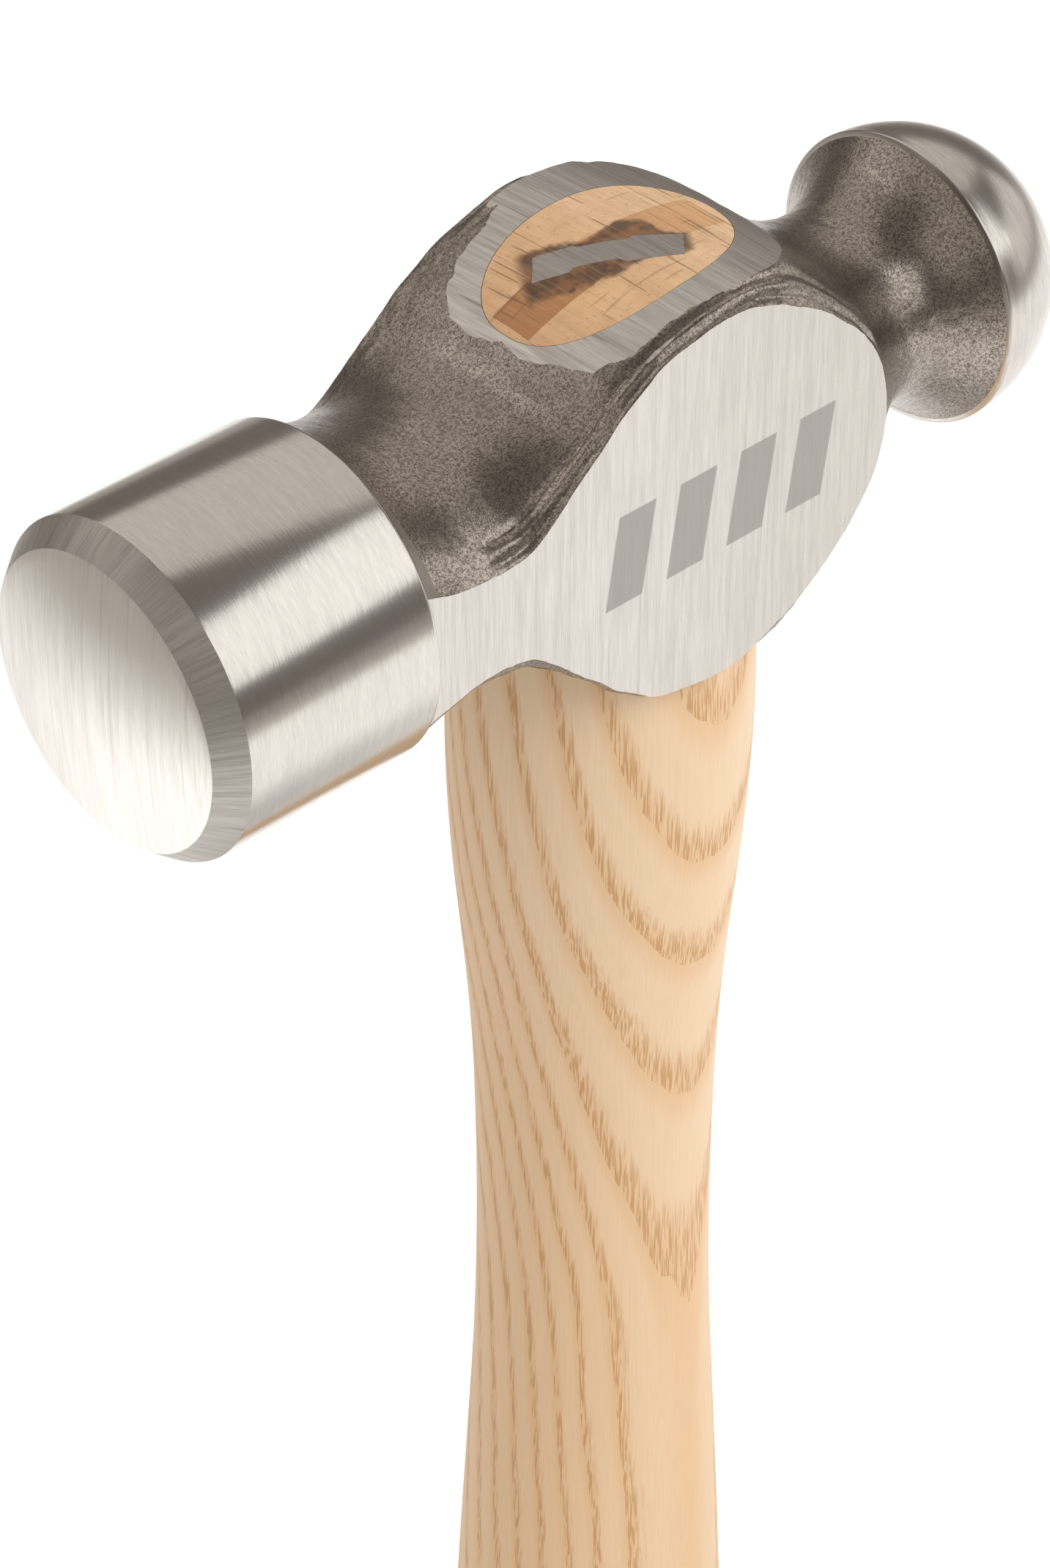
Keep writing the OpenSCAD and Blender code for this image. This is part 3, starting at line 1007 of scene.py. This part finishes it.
colour = blend(end_tree, calc(end_tree, "MULTIPLY", cross, 0.3), colour, (0.25, 0.13, 0.06))
burnt = use(end_tree, scorch_tree, {"Vector": place})["Burnt"]
char = noise(end_tree, stretch(end_tree, place, (520, 520, 520), (5, 1, 3)), 2, 0.6)
char = ramp(end_tree, char, 0.42, 0.60)
char = blend(end_tree, char, (0.085, 0.055, 0.040), (0.25, 0.125, 0.065))
char = blend(end_tree, ramp(end_tree, lines, 0.45, 1, 0, 0.4), char, (0.42, 0.27, 0.16))
colour = blend(end_tree, calc(end_tree, "MULTIPLY", burnt, 0.88), colour, char)
end_tree.links.new(colour, dst["Colour"])
height = calc(end_tree, "SUBTRACT", lines, calc(end_tree, "MULTIPLY", check, 2))
end_tree.links.new(height, dst["Height"])


def end_grain(name, colour, lighter):
    """End grain that is lighter towards the peen."""
    mat, tree, surface, place = new_material(name)
    x, _, _ = parts_of(tree, place)
    tone = blend(tree, ramp(tree, x, -0.5 * POLL, 0.7 * POLL), colour, lighter)
    out = use(tree, end_tree, {"Vector": place, "Colour": tone})
    tree.links.new(out["Colour"], surface.inputs["Base Color"])
    surface.inputs["Roughness"].default_value = 0.55
    surface.inputs["Specular IOR Level"].default_value = 0.3
    relief(tree, surface, out["Height"], 0.02 * MM, 0.7)
    return mat


tenon_end = end_grain("ash end grain", (0.92, 0.60, 0.35), (0.95, 0.69, 0.44))
wedge_wood = end_grain("wedge wood", (0.56, 0.275, 0.125), (0.82, 0.50, 0.27))


def dress(piece, *mats):
    piece.data.materials.clear()
    for mat in mats:
        piece.data.materials.append(mat)


# ---------------------------------------------------------------------------
# The object
# ---------------------------------------------------------------------------

head = build_head()

handle = build_handle()


def on_top(c, n):
    return n.z > 0.5 and c.z > AXIS / POLL + 0.8


dress(handle, ash)
refinish(handle, ash, tenon_end, on_top)
mark_borders(handle)

wood_wedge = build_wood_wedge()
dress(wood_wedge, wedge_wood)
mark_borders(wood_wedge)

steel_wedge = build_steel_wedge()
dress(steel_wedge, wedge_steel)
mark_borders(steel_wedge)

for piece, part, finish in (
    (head, "head", "forged_steel"),
    (handle, "handle", "ash"),
    (wood_wedge, "wood_wedge", "wedge_wood"),
    (steel_wedge, "steel_wedge", "wedge_steel"),
):
    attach(piece, "root")
    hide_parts(part)

# ---------------------------------------------------------------------------
# Floor, light and camera
# ---------------------------------------------------------------------------

# The floor glows with painted light: a painted pool of light round the pool's centre, most at a
# painted bright spot and least in a painted shadow beneath the head: centre, inner radius, outer
# radius, in metres
PAINTED_LIGHT_POOL = ((0.40, -0.10, 0), 0.78, 1.05)
PAINTED_BRIGHT_SPOT = ((-0.27, 0.13, 0), 0.12, 0.28)
PAINTED_SHADOW_SPOT = ((0.08, -0.06, 0), 0.02, 0.24)


def around(tree, place, spot, start, end):
    """A value that goes from start to end on the way out of a round spot."""
    centre, inner, outer = spot
    away = node(tree, "VectorMath", {0: place, 1: centre}, operation="DISTANCE")
    return ramp(tree, away.outputs["Value"], inner, outer, start, end)


clear()
bpy.ops.mesh.primitive_plane_add(size=8, location=(0, 0, 0))
floor = bpy.context.object
floor.name = "floor"
pale, tree, surface, place = new_material("pale floor")
surface.inputs["Base Color"].default_value = (0.32, 0.315, 0.31, 1)
surface.inputs["Roughness"].default_value = 0.9
# Painted light: the floor's emission is a painted pool of light with a painted bright spot,
# dimmed by a painted shadow beneath the head
pool = around(tree, place, PAINTED_LIGHT_POOL, 1, 0)
spot = around(tree, place, PAINTED_BRIGHT_SPOT, 1.36, 1)
painted_floor_shadow = around(tree, place, PAINTED_SHADOW_SPOT, 0.42, 1)
glow = blend(tree, pool, (0.30, 0.275, 0.25), (1.0, 0.985, 0.96))
tree.links.new(blend(tree, painted_floor_shadow, (0, 0, 0), glow), surface.inputs["Emission Color"])
tree.links.new(spot, surface.inputs["Emission Strength"])
dress(floor, pale)


def soft_light(name, azimuth, elevation, distance, size, radiance, colour):
    """A rectangular soft light that faces the head; azimuth is measured from +X."""
    a, e = math.radians(azimuth), math.radians(elevation)
    way = Vector((math.cos(a) * math.cos(e), math.sin(a) * math.cos(e), math.sin(e)))
    clear()
    bpy.ops.object.light_add(type="AREA", location=Vector((0, 0, AXIS)) + way * distance)
    lamp = bpy.context.object
    lamp.name = name
    lamp.data.shape = "RECTANGLE"
    lamp.data.size, lamp.data.size_y = size
    lamp.data.energy = radiance * math.pi * size[0] * size[1]
    lamp.data.color = colour
    lamp.rotation_mode = "QUATERNION"
    lamp.rotation_quaternion = way.to_track_quat("Z", "Y")
    return lamp


soft_light("key light", -50, 32, 1.5, (1.15, 1.0), 1.2, (1.0, 0.985, 0.96))
soft_light("back light", 60, 50, 1.8, (3.8, 1.8), 0.54, (1.0, 0.94, 0.88))
soft_light("left light", 152, 34, 2.0, (3.0, 1.9), 0.40, (1.0, 0.94, 0.88))
soft_light("front light", -133, 38, 1.7, (1.3, 1.3), 0.46, (1.0, 0.95, 0.90))
soft_light("low light", -13, 7, 1.7, (1.5, 0.7), 0.72, (1.0, 0.96, 0.92))
fill = soft_light("fill light", -72, 40, 1.5, (1.2, 1.2), 2.6, (1.0, 0.965, 0.92))
fill.visible_glossy = False

world = bpy.data.worlds.new("studio")
bpy.context.scene.world = world
world.use_nodes = True
world.node_tree.nodes["Background"].inputs["Color"].default_value = (0.20, 0.175, 0.155, 1)

CAMERA_AZIMUTH = math.radians(-43.103)
CAMERA_HEIGHT = math.radians(38.4624)
CAMERA_ROLL = math.radians(0.2016)
CAMERA_DISTANCE = 30.6566 * POLL
CAMERA_LENS = 122.2
back = Vector((
    math.sin(CAMERA_AZIMUTH) * math.cos(CAMERA_HEIGHT),
    -math.cos(CAMERA_AZIMUTH) * math.cos(CAMERA_HEIGHT),
    math.sin(CAMERA_HEIGHT),
))
target = Vector((-0.5979 * POLL, 0, AXIS - 2.1642 * POLL))
clear()
bpy.ops.object.camera_add(location=target + back * CAMERA_DISTANCE)
camera = bpy.context.object
camera.rotation_mode = "QUATERNION"
turn = (-back).to_track_quat("-Z", "Y").to_matrix() @ Matrix.Rotation(CAMERA_ROLL, 3, "Z")
camera.rotation_quaternion = turn.to_quaternion()
camera.data.lens = CAMERA_LENS
camera.data.clip_start = 0.02
bpy.context.scene.camera = camera

bpy.context.scene.view_settings.view_transform = "Standard"
bpy.context.scene.view_settings.look = "None"
